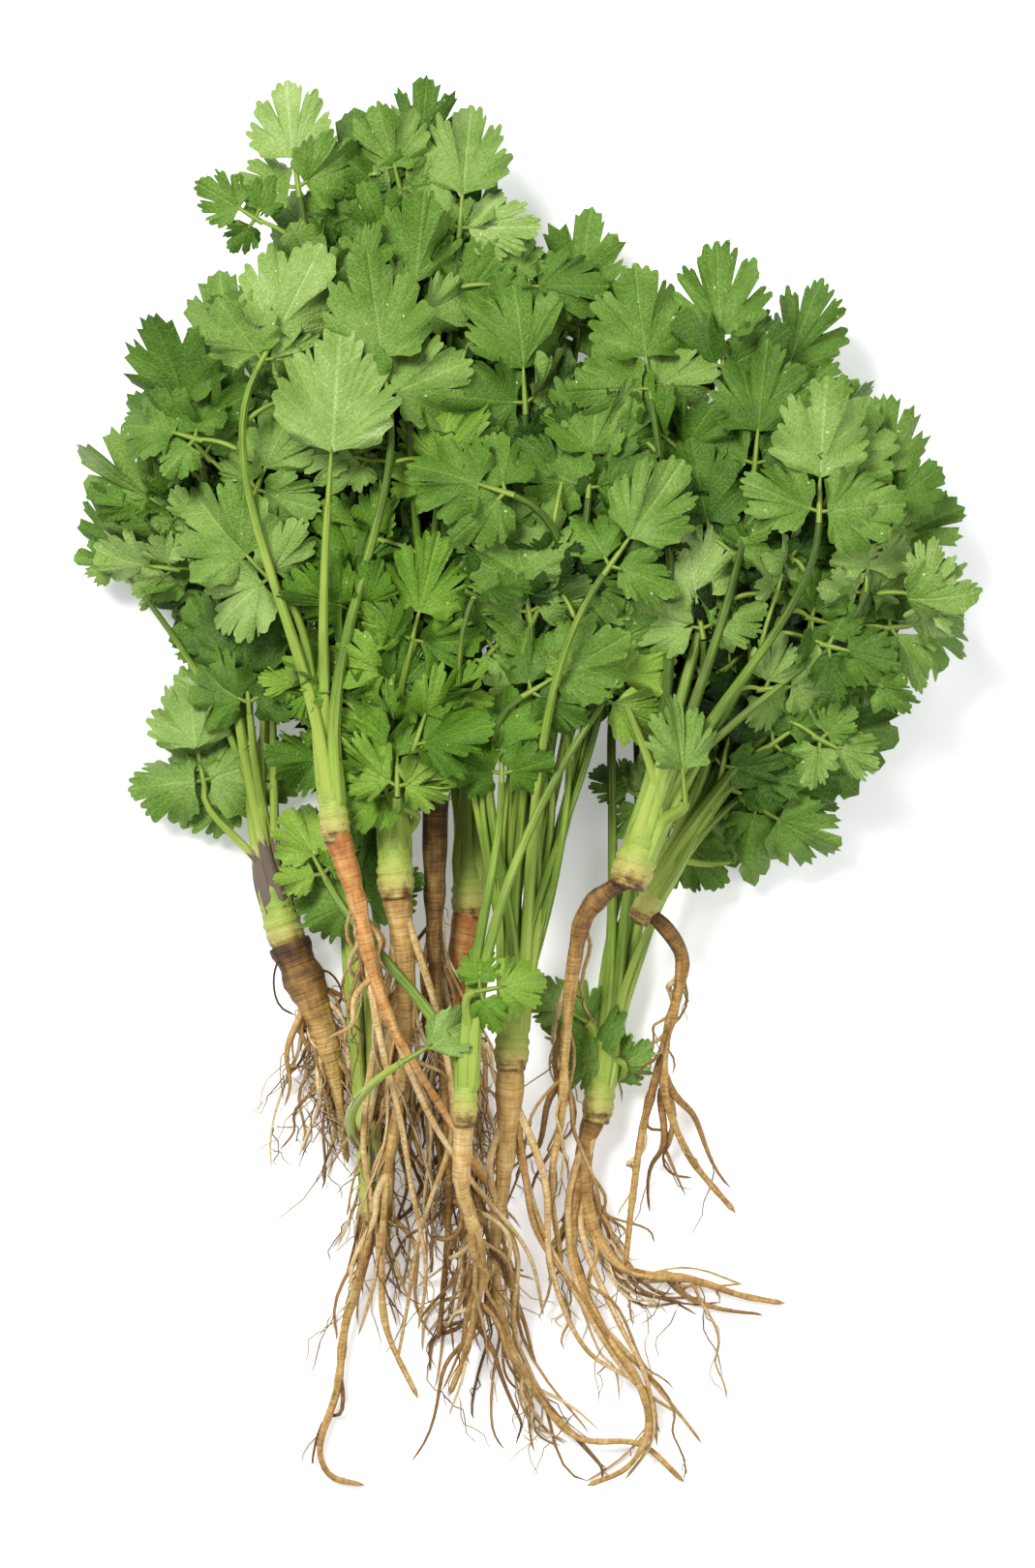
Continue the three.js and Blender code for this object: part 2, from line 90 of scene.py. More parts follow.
# The plants, in millimetres and in degrees from +Y towards +X:
# crown, points, radius: the middle of its crown, the way that points, and the crown's radius
# more_stalks: how many thin stalks it has besides its main ones
# fibres: how many side roots and trailing roots it has, and how many hairs stand on each
# paler, stalks_paler: how much lighter its leaves and its stalks are than the others'
# leafy: how far along the bunch its leaves start, and near where its stalks get painted shade
# root_top, root_tones, taper: its taproot's radius at the top, how dark it is there and at its
# tip, from 0 to 1, and how suddenly it thins
# stalks: its main stalks, each [x, y, z of its leaf, way that points, leaflet length] and then,
# where they differ from the rest, the way it leaves the crown and whether its leaflet is alone
# strands, curls: its long thin roots, and its dark curled hairs
# roots: its taproot and any fork
PLANTS = {
    "left": {
        "crown": (-54, -9, 13), "points": -17, "radius": 5.6, "more_stalks": 6, "fibres": (10, 28, 3),
        "paler": 0.15, "leafy": 78, "root_top": 5.5, "taper": 3, "root_tones": (1.0, 0.3),
        "stalks": [
            [-80, 136, 34, -15, 30],
            [-90, 109, 22, -60, 31],
            [-79, 88, 10, -75, 25],
            [-69, 34, 10, -30, 33],
            [-63, 60, 27, -5, 30],
        ],
        "roots": [
            [(-50, -19, 13), (-43, -38, 12), (-38, -58, 9), (-35, -80, 4)],
        ],
        "curls": [
            [(-51, -18, 17), (-54.5, -22, 15), (-55.8, -29, 11), (-54, -35, 8), (-49.5, -37.5, 9)],
            [(-46, -24, 16), (-40, -25, 14), (-36.5, -31, 10), (-38, -35.5, 8)],
        ],
    },
    "hero": {
        "crown": (-38, 22, 45), "points": -7, "radius": 4.3, "more_stalks": 0, "fibres": (3, 9, 1),
        "paler": 0.13, "leafy": 112, "root_top": 3.3, "root_tones": (0.55, 0.3),
        "stalks": [
            [-38, 120, 57, 4, 36, -7, True],
            [-53, 154, 52, 28, 31],
            [-62, 92, 42, -45, 30],
            [-24, 146, 53, -8, 34],
        ],
        "strands": [
            [(-25, -30, 42), (-14, -60, 37), (0, -80, 30), (14, -101, 20), (21, -124, 10)],
            [(-29, -15, 43), (-24, -50, 40), (-17, -78, 32), (-12, -104, 22), (-16, -128, 12)],
        ],
        "roots": [
            [(-37, 12, 45), (-31, -5, 45), (-27, -23, 44), (-21, -40, 41), (-8, -62, 36), (5, -84, 28)],
        ],
    },
    "frill": {
        "crown": (-21, 6, 32), "points": -3, "radius": 5.4, "more_stalks": 6, "fibres": (6, 34, 2),
        "paler": 0.2, "leafy": 30, "root_top": 3.8, "root_tones": (0.4, 0.3),
        "stalks": [
            [-20, 36, 47, 0, 28],
            [-24, 62, 44, -8, 27],
            [-14, 76, 47, 14, 27],
            [-31, 88, 38, -5, 28],
            [-8, 117, 45, 5, 29],
        ],
        "strands": [
            [(-19, -5, 32), (-10, -34, 30), (-6, -66, 26), (-14, -96, 20), (-18, -126, 9),
             (-20, -138, 4)],
            [(-19, -5, 32), (-25, -38, 28), (-29, -72, 22), (-27, -106, 13), (-33, -128, 6)],
        ],
        "roots": [
            [(-19, -5, 32), (-18, -26, 29), (-19, -53, 25), (-23, -80, 21), (-25, -104, 15),
             (-24, -126, 8), (-15, -147, 3)],
        ],
    },
    "tall": {
        "crown": (-10, 34, 22), "points": -3, "radius": 4.2, "more_stalks": 3, "fibres": (6, 28, 2),
        "paler": 0.1, "leafy": 95, "root_top": 4.2, "root_tones": (0.85, 0.6),
        "stalks": [
            [-49, 203, 38, -8, 27],
            [-31, 195, 34, -5, 28],
            [-14, 206, 30, 5, 25],
            [-2, 193, 37, 5, 31],
            [-15, 168, 44, 5, 30],
        ],
        "roots": [
            [(-10, 24, 22), (-10, 0, 20), (-10, -22, 19), (-8, -50, 16), (-6, -90, 12), (-9, -130, 6)],
        ],
    },
    "base": {
        "crown": (0, 0, 4.6), "points": 0, "radius": 5.6, "more_stalks": 10, "fibres": (8, 36, 2),
        "paler": -0.08, "leafy": 84, "root_top": 4.2, "root_tones": (0.5, 0.5),
        "stalks": [
            [-18, 134, 10, -10, 30],
            [4, 158, 7, 5, 30],
            [-42, 139, 8, -20, 30],
            [31, 166, 22, 5, 29],
        ],
        "roots": [
            [(0, -11, 5), (-3, -24, 6), (-3, -45, 6), (-1, -77, 5), (-2, -112, 3)],
        ],
    },
    "middle": {
        "crown": (12, -42, 30), "points": 3, "radius": 5, "more_stalks": 20, "fibres": (5, 14, 1),
        "paler": -0.06, "leafy": 70, "root_top": 3.7, "root_tones": (0.35, 0.35),
        "stalks": [
            [15, 144, 42, -3, 32],
            [34, 120, 48, 5, 32],
            [44, 96, 58, 35, 31],
            [3, 111, 59, -72, 25],
            [24, 58, 51, 60, 27],
            [15, 85, 50, -10, 31],
        ],
        "strands": [
            [(12, -58, 27), (17, -90, 20), (27, -112, 14), (38, -128, 10), (48, -141, 7), (55, -158, 4)],
            [(11, -60, 26), (20, -98, 16), (31, -121, 11), (45, -139, 8), (61, -152, 3)],
            [(12, -60, 27), (22, -84, 22), (24, -108, 15), (33, -134, 9), (50, -146, 6), (52, -160, 3)],
            [(13, -60, 27), (6, -80, 24), (12, -104, 18), (13, -128, 9), (24, -148, 4)],
        ],
        "roots": [
            [(12, -52, 29), (10, -77, 24), (7, -101, 19), (9.5, -125, 13), (18, -144, 8),
             (31, -158, 5), (48.5, -160, 4), (61, -171, 2)],
        ],
    },
    "front": {
        "crown": (-1, -57, 46), "points": 2, "radius": 3.6, "more_stalks": 0, "fibres": (5, 18, 1),
        "leafy": 200, "root_top": 2.7, "root_tones": (0.25, 0.35),
        "stalks": [
            [42, 58, 47, 35, 25, 2],
            [8, -28, 51, 80, 17, 20],
            [9, 38, 48, 0, 23],
            [-44, 8, 25, -28, 19, -30],
        ],
        "roots": [
            [(-1, -67, 46), (-2, -84, 41), (3, -104, 30), (0, -128, 16), (-6, -146, 5)],
        ],
    },
    "right": {
        "crown": (47, 9, 45), "points": 19, "radius": 6, "more_stalks": 5, "fibres": (3, 8, 1),
        "leafy": 52, "root_top": 3.0, "root_tones": (0.9, 0.3),
        "stalks": [
            [97, 113, 55, 2, 32],
            [70, 153, 45, -5, 30],
            [49, 147, 47, -8, 30],
            [80, 126, 50, 5, 30],
            [59, 32, 57, -5, 21, 19, True],
            [63, 80, 47, -10, 29],
        ],
        "roots": [
            [(42, 1, 44), (33, -7, 40), (29, -23, 35), (27, -42, 30), (26, -63, 25), (23, -85, 18),
             (26, -108, 10)],
        ],
    },
    "side": {
        "crown": (52, -2, 24), "points": 30, "radius": 3.8, "more_stalks": 5, "fibres": (2, 7, 1),
        "paler": 0.04, "leafy": 14, "root_top": 2.2, "root_tones": (0.8, 0.4),
        "stalks": [
            [117, 115, 40, -4, 27],
            [121, 98, 28, 62, 23],
            [101, 55, 28, 50, 29],
            [85, 31, 20, 75, 27],
            [66, 18, 14, 60, 28],
            [90, 147, 28, 20, 30],
        ],
        "roots": [
            [(54, -11, 24), (59.7, -20, 22), (58.6, -31, 20), (55, -46, 17), (55.5, -60, 13),
             (62, -77, 8), (75.6, -94, 3)],
            [(55, -46, 17), (49, -69, 13), (46, -90, 11), (44, -109, 10)],
        ],
    },
    "low": {
        "crown": (37, -58, 11), "points": 8, "radius": 4.6, "more_stalks": 7, "fibres": (4, 24, 1),
        "paler": 0.04, "leafy": 40, "root_top": 2.9, "root_tones": (0.6, 0.35),
        "stalks": [
            [85, 117, 5, 25, 30],
            [99, 85, 5, 45, 30],
            [74, 58, 11, 50, 28],
            [42, 80, 13, 5, 28],
            [28, -36, 15, -60, 15, -25, True],
        ],
        "strands": [
            [(34, -68, 11), (27, -92, 11), (31, -114, 10), (46, -133, 8), (56, -148, 5), (65, -161, 2)],
            [(35, -70, 11), (31, -98, 9), (41, -124, 8), (51, -142, 8), (53, -157, 7), (44, -169, 3)],
        ],
        "roots": [
            [(35, -67, 11), (32.4, -76, 10), (35, -98, 8), (44.5, -110, 6), (63.5, -113, 4),
             (77, -117.5, 3), (90, -120, 1.5)],
            [(32.4, -76, 10), (29, -104, 10), (38, -127, 9), (48, -142, 9), (50.5, -155, 9),
             (45, -166, 6), (33, -172, 3)],
        ],
    },
    "far": {
        "crown": (-28, -86, 13), "points": -3, "radius": 3.8, "more_stalks": 3, "fibres": (0, 1, 1),
        "leafy": 60, "stalks_paler": 0.3, "root_top": 1.7, "root_tones": (0.45, 0.4),
        "stalks": [
            [-66, 150, 14, -15, 30],
            [-40, 6, 5, -25, 21],
            [-69, 85, 5, -45, 28],
            [-36, 61, 13, 0, 27],
            [-12, -45, 47, 60, 19, -60, True],
        ],
        "roots": [
            [(-29, -95, 12), (-30.5, -108, 9), (-35.6, -125.5, 5), (-38, -144, 4), (-43, -162, 3),
             (-40, -169, 2.5), (-30, -172, 1.5)],
        ],
    },
}


# Draws and curves

def draw(thing, what):
    """A number from 0 to 1 that depends only on a thing's number and on what is drawn for it."""
    wave = math.sin(thing * 12.9898 + what * 78.233) * 43758.5453
    return wave - math.floor(wave)


def between(low, high, share):
    return low + (high - low) * share


def way_of(degrees, rise=0.0):
    turn = math.radians(degrees)
    way = np.array([math.sin(turn), math.cos(turn), rise])
    return way / np.linalg.norm(way)


def unit(vector):
    return vector / np.linalg.norm(vector)


def bezier(corners, count=60):
    """Points along a cubic curve, or a quadratic one where there are three corners."""
    share = np.linspace(0, 1, count + 1)[:, None]
    order = len(corners) - 1
    return sum(
        math.comb(order, k) * (1 - share) ** (order - k) * share ** k * np.array(corner, float)
        for k, corner in enumerate(corners)
    )


def smooth_route(points, count=16):
    """Points along a smooth curve through the given ones, with no overshoot between near ones."""
    points = [np.array(point, float) for point in points]
    points = [2 * points[0] - points[1], *points, 2 * points[-1] - points[-2]]
    route = []
    for a, b, c, d in zip(points, points[1:], points[2:], points[3:]):
        gaps = [max(np.linalg.norm(q - p) ** 0.5, 1e-4) for p, q in ((a, b), (b, c), (c, d))]
        leave = ((b - a) / gaps[0] - (c - a) / (gaps[0] + gaps[1]) + (c - b) / gaps[1]) * gaps[1]
        arrive = ((c - b) / gaps[1] - (d - b) / (gaps[1] + gaps[2]) + (d - c) / gaps[2]) * gaps[1]
        route.append(bezier([b, b + leave / 3, c - arrive / 3, c], count)[:-1])
    return np.vstack([*route, points[-2]])


def spaced(curve, steps):
    """Equally spaced points along a curve."""
    lengths = np.concatenate([[0], np.cumsum(np.linalg.norm(np.diff(curve, axis=0), axis=1))])
    wanted = np.linspace(0, lengths[-1], steps + 1)
    return np.stack([np.interp(wanted, lengths, curve[:, axis]) for axis in range(3)], axis=1)


def length_of(curve):
    return float(np.linalg.norm(np.diff(curve, axis=0), axis=1).sum())


def point_at(curve, share):
    """The place at a share of a curve's length, and the way that it runs there."""
    points = spaced(curve, FINE_STEPS)
    index = min(max(int(round(share * FINE_STEPS)), 1), FINE_STEPS - 1)
    return points[index], unit(points[index + 1] - points[index - 1])


# How the stalks and leaves lie

def blade_of(at, ahead, lean, length, alone=False):
    """A leaf's place: its end leaflet's neck, the way it points and faces, and its length."""
    side = unit(np.cross(ahead, lean))
    return {"at": at, "ahead": ahead, "up": np.cross(side, ahead), "length": length, "alone": alone}


def leaf_of(stalk):
    """The leaf on the end of a main stalk."""
    x, y, z, arrives, length = stalk[:5]
    key = math.floor(x * 3 + y * 7 + 0.5)
    ahead = way_of(arrives, between(-0.15, 0.18, draw(key, 50)))
    tilt = 1 if z > 14 else 0.4
    lean = np.array([
        tilt * between(-0.45, 0.45, draw(key, 51)), tilt * between(-0.5, 0.25, draw(key, 52)), 1,
    ])
    return blade_of(np.array([x, y, z], float), ahead, lean, length, len(stalk) > 6 and stalk[6])


def rank_of(plant, stalk):
    """A stalk's place in its crown's fan, counted from the left."""
    bearing = lambda other: math.atan2(other[0] - plant["crown"][0], other[1] - plant["crown"][1])
    return sum(bearing(other) < bearing(stalk) for other in plant["stalks"])


def stalk_curve(plant, stalk, bow):
    """The curve of one leaf stalk, from inside its crown to its leaf."""
    leaves = stalk[5] if len(stalk) > 5 else plant["points"]
    rank = rank_of(plant, stalk)
    spread = (rank + 0.5) / len(plant["stalks"]) - 0.5
    axis = way_of(plant["points"])
    start = np.array(plant["crown"], float) + axis * CROWN_LENGTH * STALKS_START
    start += np.array([axis[1], -axis[0], 0]) * plant["radius"] * 1.25 * spread
    start[2] += plant["radius"] * (0.33 if rank % 2 else -0.33)
    blade = leaf_of(stalk)
    end = blade["at"] - blade["ahead"] * RIB_LENGTH * blade["length"]
    reach = np.linalg.norm(end - start)
    up, aside = bow
    first = start + way_of(leaves) * reach * 0.38 + np.array([aside, 0, up]) * BOW_STEP * 0.6
    second = end - blade["ahead"] * reach * 0.28 + np.array([aside, 0, up]) * BOW_STEP
    first[2] = max(first[2], LOWEST_LIMB)
    second[2] = max(second[2], LOWEST_LIMB)
    return bezier([start, first, second, end], STALK_STEPS)


def crown_curve(plant):
    axis = way_of(plant["points"])
    middle = np.array(plant["crown"], float)
    return np.array([middle - axis * CROWN_LENGTH / 2, middle + axis * CROWN_LENGTH / 2])


def crown_radius(radius, share):
    return radius * (0.5 + 0.5 * np.sin(np.pi * (0.15 + 0.6 * share)))


def root_thickness(plant, fork):
    return plant["radius"] * (FORK_SHARE if fork else TAPROOT_SHARE)


def marks_of(plant, owner, curve, radii):
    """A curve's points, radii, owner, and whether each is past the stretch beside the crown."""
    free = np.linalg.norm(curve - np.array(plant["crown"]), axis=1) > FREE_LENGTH
    return np.column_stack([curve, radii, np.full(len(curve), owner), free])


def clash(own, others):
    """How far a limb goes into others at its worst. Limbs of one plant may touch near their crown."""
    apart = np.linalg.norm(own[:, None, :3] - others[None, :, :3], axis=2)
    gap = apart - own[:, None, 3] - others[None, :, 3] - CLEARANCE
    skip = (own[:, None, 4] == others[None, :, 4]) & ~((own[:, None, 5] * others[None, :, 5]) > 0)
    gap[skip] = 1
    return max(0.0, -gap.min())


BOWS = sorted(
    ((up, aside) for up in (0, 1, -1, 2, -2, 3, -3, 4, -4) for aside in (0, 1, -1, 2, -2)),
    key=lambda bow: abs(bow[0]) + 1.6 * abs(bow[1]),
)


def lay_stalks():
    """Every stalk's curve, bowed as little as passes clear of the other plants' limbs."""
    share = np.linspace(0, 1, STALK_STEPS + 1)
    placed = []
    for owner, plant in enumerate(PLANTS.values()):
        crown = spaced(crown_curve(plant), STALK_STEPS)
        placed.append(marks_of(plant, owner, crown, crown_radius(plant["radius"], share)))
        for fork, points in enumerate(plant["roots"]):
            thick = root_thickness(plant, fork)
            route = spaced(smooth_route(points), STALK_STEPS)
            placed.append(marks_of(plant, owner, route, between(thick, ROOT_TIP_RADIUS, share ** 0.8)))
    laid = []
    for owner, plant in enumerate(PLANTS.values()):
        curves = []
        for stalk in plant["stalks"]:
            best = None
            others = np.vstack(placed)
            for bow in BOWS:
                curve = stalk_curve(plant, stalk, bow)
                marks = marks_of(plant, owner, curve, between(*STALK_RADII, share))
                depth = clash(marks, others)
                if best is None or depth < best[0]:
                    best = (depth, curve, marks)
                if depth == 0:
                    break
            placed.append(best[2])
            curves.append(best[1])
        laid.append(curves)
    return laid


# Building meshes

class Piece:
    """A mesh in the making, with its own map and a tone from 0 to 1 at each point."""

    def __init__(self):
        self.bm = bmesh.new()
        self.map = self.bm.loops.layers.uv.new("UVMap")
        self.tone = self.bm.verts.layers.float.new("tone")

    def sheet(self, places, map_places, tones, finish=0, flipped=False):
        """Lays a grid of quads through rows of places, given in millimetres."""
        rows, columns = places.shape[0] - 1, places.shape[1] - 1
        made = bmesh.ops.create_grid(self.bm, x_segments=columns, y_segments=rows, size=0.5)
        verts = made["verts"]
        spot = {}
        for vert, place, at, tone in zip(
            verts,
            places.reshape(-1, 3) * MM,
            map_places.reshape(-1, 2),
            np.broadcast_to(tones, places.shape[:2]).reshape(-1),
        ):
            vert.co = place
            vert[self.tone] = tone
            spot[vert] = at
        faces = {face for vert in verts for face in vert.link_faces}
        for face in faces:
            face.material_index = finish
            face.smooth = True
            for loop in face.loops:
                loop[self.map].uv = spot[loop.vert]
            if flipped:
                face.normal_flip()

    def limb(self, curve, radii, sides, tones, ribs=0.0, rib_count=5):
        """A round limb along equally spaced points. It closes where its radius comes to nothing."""
        ways = np.gradient(curve, axis=0)
        ways /= np.linalg.norm(ways, axis=1)[:, None]
        across = unit(np.cross(ways[0], [0.02, 0.05, 1.0]))
        turns = np.linspace(0, 2 * np.pi, sides + 1)
        run = np.concatenate([[0], np.cumsum(np.linalg.norm(np.diff(curve, axis=0), axis=1))])
        places = np.zeros((len(curve), sides + 1, 3))
        for i, (middle, way) in enumerate(zip(curve, ways)):
            across = unit(across - way * np.dot(across, way))
            other = np.cross(way, across)
            radius = radii[i] * (1 + ribs * np.cos(rib_count * turns))
            places[i] = middle + np.outer(radius * np.cos(turns), across)
            places[i] += np.outer(radius * np.sin(turns), other)
        u, v = np.meshgrid(np.linspace(0, 1, sides + 1), run)
        tones = np.broadcast_to(np.asarray(tones, float).reshape(-1, 1), (len(curve), sides + 1))
        self.sheet(places, np.dstack([u, v]), tones)

    def finish(self, name, materials, node, slot):
        """Merges seams and poles, keeps the mesh over the surface and makes it a piece."""
        bmesh.ops.remove_doubles(self.bm, verts=self.bm.verts, dist=MERGE_WITHIN)
        for edge in self.bm.edges:
            edge.smooth = len({face.material_index for face in edge.link_faces}) < 2
        for vert in self.bm.verts:
            vert.co.z = min(max(vert.co.z, cad_low.z + ABOVE_BOARD), cad_high.z)
        mesh = bpy.data.meshes.new(name)
        self.bm.to_mesh(mesh)
        self.bm.free()
        for material in materials:
            mesh.materials.append(material)
        made = bpy.data.objects.new(name, mesh)
        bpy.context.scene.collection.objects.link(made)
        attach(made, "root")
        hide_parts(node)
        return made


# Half of a leaflet's edge, from its tip round to its neck: degrees from the rib, reach in leaflet
# lengths, and what is there: a tooth, a notch between teeth or a gap between lobes.
EDGE = [
    (0, 1.0, "tooth"), (4.5, 0.94, "notch"), (9, 0.975, "tooth"), (13, 0.89, "notch"),
    (17, 0.9, "tooth"), (21, 0.66, "gap"), (25.5, 0.82, "tooth"), (30, 0.79, "notch"),
    (34.5, 0.87, "tooth"), (40, 0.77, "notch"), (45, 0.8, "tooth"), (51.5, 0.57, "gap"),
    (58, 0.7, "tooth"), (64.5, 0.62, "notch"), (71, 0.67, "tooth"), (79, 0.54, "notch"),
    (87, 0.55, "tooth"), (97, 0.42, "notch"), (107, 0.39, "tooth"), (118, 0.24, "notch"),
]
COARSE_EDGE = [EDGE[i] for i in (0, 3, 4, 5, 6, 8, 10, 11, 12, 14, 16, 19)]
MAP_WIDTH = 0.4
MAP_FOOT = 0.25
MAP_HEIGHT = 0.7


def edge_of(key, detail, frilly, slim):
    """A leaflet's edge from one side of its neck to the other: degrees from the rib, and reach."""
    width = between(0.62, 0.95, draw(key, 10)) * slim
    teeth = between(0.8, 1.25, draw(key, 11)) * (1.5 if frilly else 1)
    lobes = between(0.75, 1.75, draw(key, 12)) * (1.15 if frilly else 1)
    edge = EDGE if detail else COARSE_EDGE
    halves = []
    for hand in (-1, 1):
        half = []
        for i, (turn, reach, kind) in enumerate(edge):
            if kind != "tooth":
                beside = (edge[i - 1][1] + edge[min(i + 1, len(edge) - 1)][1]) / 2
                reach = beside - (beside - reach) * (teeth if kind == "notch" else lobes)
            jitter = between(-0.035, 0.035, draw(key * 2 + hand, 20 + i)) if i else 0
            lean = between(-1.5, 1.5, draw(key * 2 + hand, 45 + i)) if i else 0
            half.append((hand * (turn + lean) * width, max(reach + jitter, 0.14), kind))
        halves.append(half)
    points = halves[0][:0:-1] + halves[1]
    if detail < 2:
        return [(turn, reach) for turn, reach, _ in points]
    rounded = []
    for before, (turn, reach, kind), after in zip([None] + points, points, points[1:] + [None]):
        if kind == "tooth" and before:
            rounded.append((between(turn, before[0], 0.5), between(reach, before[1], 0.16)))
        rounded.append((turn, reach))
        if kind == "tooth" and after:
            rounded.append((between(turn, after[0], 0.5), between(reach, after[1], 0.16)))
    return rounded


ROWS = {0: [0.03, 0.55, 1.0], 1: [0.03, 0.4, 0.76, 1.0], 2: [0.03, 0.3, 0.58, 0.82, 1.0]}


def add_leaflet(piece, at, ahead, up, length, key, tone, detail, frilly=False, slim=1.0):
    """One leaflet: two sheets that meet along its toothed edge, folded, arched and waved."""
    edge = edge_of(key, detail, frilly, slim)
    turns = np.radians([turn for turn, _ in edge])
    reach = np.array([reach for _, reach in edge])
    side = np.cross(ahead, up)
    arch = between(0.1, 1.0, draw(key, 1))
    droop = between(-0.1, 0.45, draw(key, 2))
    turn, share = np.meshgrid(turns, np.array(ROWS[detail]))
    radius = reach[None, :] * share
    # The blade's veins leave the rib at different heights, so its rays bend outwards.
    fan = turn * (0.8 + 0.2 * share)
    x = radius * np.sin(fan)
    y = radius * np.cos(fan)
    # The lobes beside the neck lift a little.
    lift = 0.11 * np.sin(0.190283 * np.abs(turn) / turns.max()) * share * (1.4 - share)
    wave = 0.05 * np.sin(3.1 * turn + FULL_TURN * draw(key, 3)) * share ** 2
    wave += 0.035 * np.sin(7.3 * turn + FULL_TURN * draw(key, 4)) * share ** 3
    wave += 0.02 * np.sin(13.0 * turn + FULL_TURN * draw(key, 5)) * share ** 4
    wave *= 4 if frilly else 2.6
    crease = between(-0.12, 0.4, draw(key, 6))
    bend = -arch * x * x - droop * y * np.abs(y) + crease * np.abs(x) + lift + wave
    spread = (x * length)[..., None] * side + (y * length)[..., None] * ahead
    places = at + spread + (bend * length)[..., None] * up
    low, high = places.min(axis=(0, 1)), places.max(axis=(0, 1))
    places += np.maximum(LEAF_LOW - low, 0) + np.minimum(LEAF_HIGH - high, 0)
    body = np.full(turn.shape, LEAF_THICKNESS / 2)
    body[0] = body[-1] = body[:, 0] = body[:, -1] = 0
    on_map = np.dstack([0.5 + MAP_WIDTH * x, MAP_FOOT + MAP_HEIGHT * y])
    piece.sheet(places + body[..., None] * up, on_map, tone, 0)
    piece.sheet(places - body[..., None] * up, on_map, tone, 1, flipped=True)


def turned(vector, axis, angle):
    """A vector turned about an axis."""
    return (
        vector * math.cos(angle)
        + np.cross(axis, vector) * math.sin(angle)
        + axis * np.dot(axis, vector) * (1 - math.cos(angle))
    )


def add_leaf(leaves, stems, blade, number, tone, detail, frilly=False):
    """A leaf of three leaflets on the end of a stalk, or of one, with their short stalks."""
    at, ahead, up = blade["at"], blade["ahead"], blade["up"]
    length = blade["length"]
    own = lambda what: draw(number, what)
    shade = lambda what: min(max(tone + between(-0.12, 0.12, own(what)), 0), 1)
    slim = 0.8 if blade["alone"] else 1
    add_leaflet(leaves, at, ahead, up, length, number * 3, shade(70), detail, frilly, slim)
    foot = at - ahead * RIB_LENGTH * length
    stems.limb(
        np.linspace(foot - ahead * 1.5, at + ahead * 2.5, 5),
        np.array([0.9, 0.85, 0.75, 0.6, 0.0]), 7, 0.6,
    )
    if blade["alone"]:
        return
    for hand in (-1, 1):
        turn = hand * math.radians(between(58, 86, own(53 + hand)))
        way = turned(ahead, up, -turn)
        face = turned(up, way, hand * math.radians(between(-14, 26, own(60 + hand))))
        neck = at + ahead * SIDE_FOOT * length + way * 2.2
        size = length * between(0.64, 0.86, own(56 + hand))
        add_leaflet(leaves, neck, way, face, size, number * 3 + hand, shade(72 + hand), detail, frilly)
        stems.limb(
            np.linspace(neck - way * 2.4, neck + way * 2.0, 4),
            np.array([0.55, 0.6, 0.5, 0.0]), 6, 0.6,
        )


# Materials

def linear(colour):
    """A colour written as sRGB hex, as the linear values that a shader takes."""
    parts = [int(colour[i:i + 2], 16) / 255 for i in (1, 3, 5)]
    curved = [
        part / 12.92 if part <= 0.04045 else ((part + 0.055) / 1.055) ** 2.4 for part in parts
    ]
    return (*curved, 1.0)


def add_node(material, kind, inputs=None, **settings):
    """Adds a node with its settings, values and links. A node given is linked by its first output."""
    made = material.node_tree.nodes.new(kind)
    for name, value in settings.items():
        setattr(made, name, value)
    for socket, value in (inputs or {}).items():
        if isinstance(value, bpy.types.Node):
            value = value.outputs[0]
        if isinstance(value, bpy.types.NodeSocket):
            material.node_tree.links.new(value, made.inputs[socket])
        else:
            made.inputs[socket].default_value = value
    return made


def new_material(name):
    material = bpy.data.materials.new(name)
    material.use_nodes = True
    material.node_tree.nodes.clear()
    return material


def start_skin(name):
    """An empty material, the places on its piece and the tone kept at each point."""
    material = new_material(name)
    where = add_node(material, "ShaderNodeTexCoord")
    tone = add_node(material, "ShaderNodeAttribute", attribute_name="tone")
    return material, where.outputs, tone.outputs["Fac"]


def drawn_out(material, where, scale, detail, distortion=0.0):
    """A noise on a limb's own map: its scale goes by whole turns round it and by millimetres."""
    spread = add_node(
        material, "ShaderNodeMapping", {"Vector": where["UV"], "Scale": (*scale, 1.0)},
    )
    return add_node(
        material, "ShaderNodeTexNoise",
        {"Vector": spread, "Scale": 1.0, "Detail": detail, "Distortion": distortion},
    )


def blended(material, start, parts):
    """A value with others added to it, each by its own weight."""
    for value, weight in parts:
        start = add_node(
            material, "ShaderNodeMath", {0: value, 1: weight, 2: start}, operation="MULTIPLY_ADD",
        )
    return start


def varied(material, tone, noises):
    """A tone made lighter and darker by noises, each by its own strength."""
    middle = sum(strength for _, strength in noises) / 2
    tone = add_node(material, "ShaderNodeMath", {0: tone, 1: middle}, operation="SUBTRACT")
    return blended(material, tone, noises)


def close_skin(material, shade, stops, height, bumps, gloss, through=0.0):
    """Closes a skin: its colours by tone, how strong and deep its bumps are, in metres, its gloss,
    and the share of the light that it lets through."""
    ramp = add_node(material, "ShaderNodeValToRGB", {"Fac": shade})
    elements = ramp.color_ramp.elements
    while len(elements) < len(stops):
        elements.new(0.5)
    for element, (place, colour) in zip(elements, stops):
        element.position = place
        element.color = linear(colour)
    strength, depth = bumps
    bump = add_node(
        material, "ShaderNodeBump", {"Height": height, "Strength": strength, "Distance": depth},
    )
    skin = add_node(
        material, "ShaderNodeBsdfPrincipled", {"Base Color": ramp, "Normal": bump, **gloss},
    )
    if through:
        glow = add_node(material, "ShaderNodeBsdfTranslucent", {"Color": ramp, "Normal": bump})
        skin = add_node(material, "ShaderNodeMixShader", {0: through, 1: skin, 2: glow})
    add_node(material, "ShaderNodeOutputMaterial", {"Surface": skin})
    return material


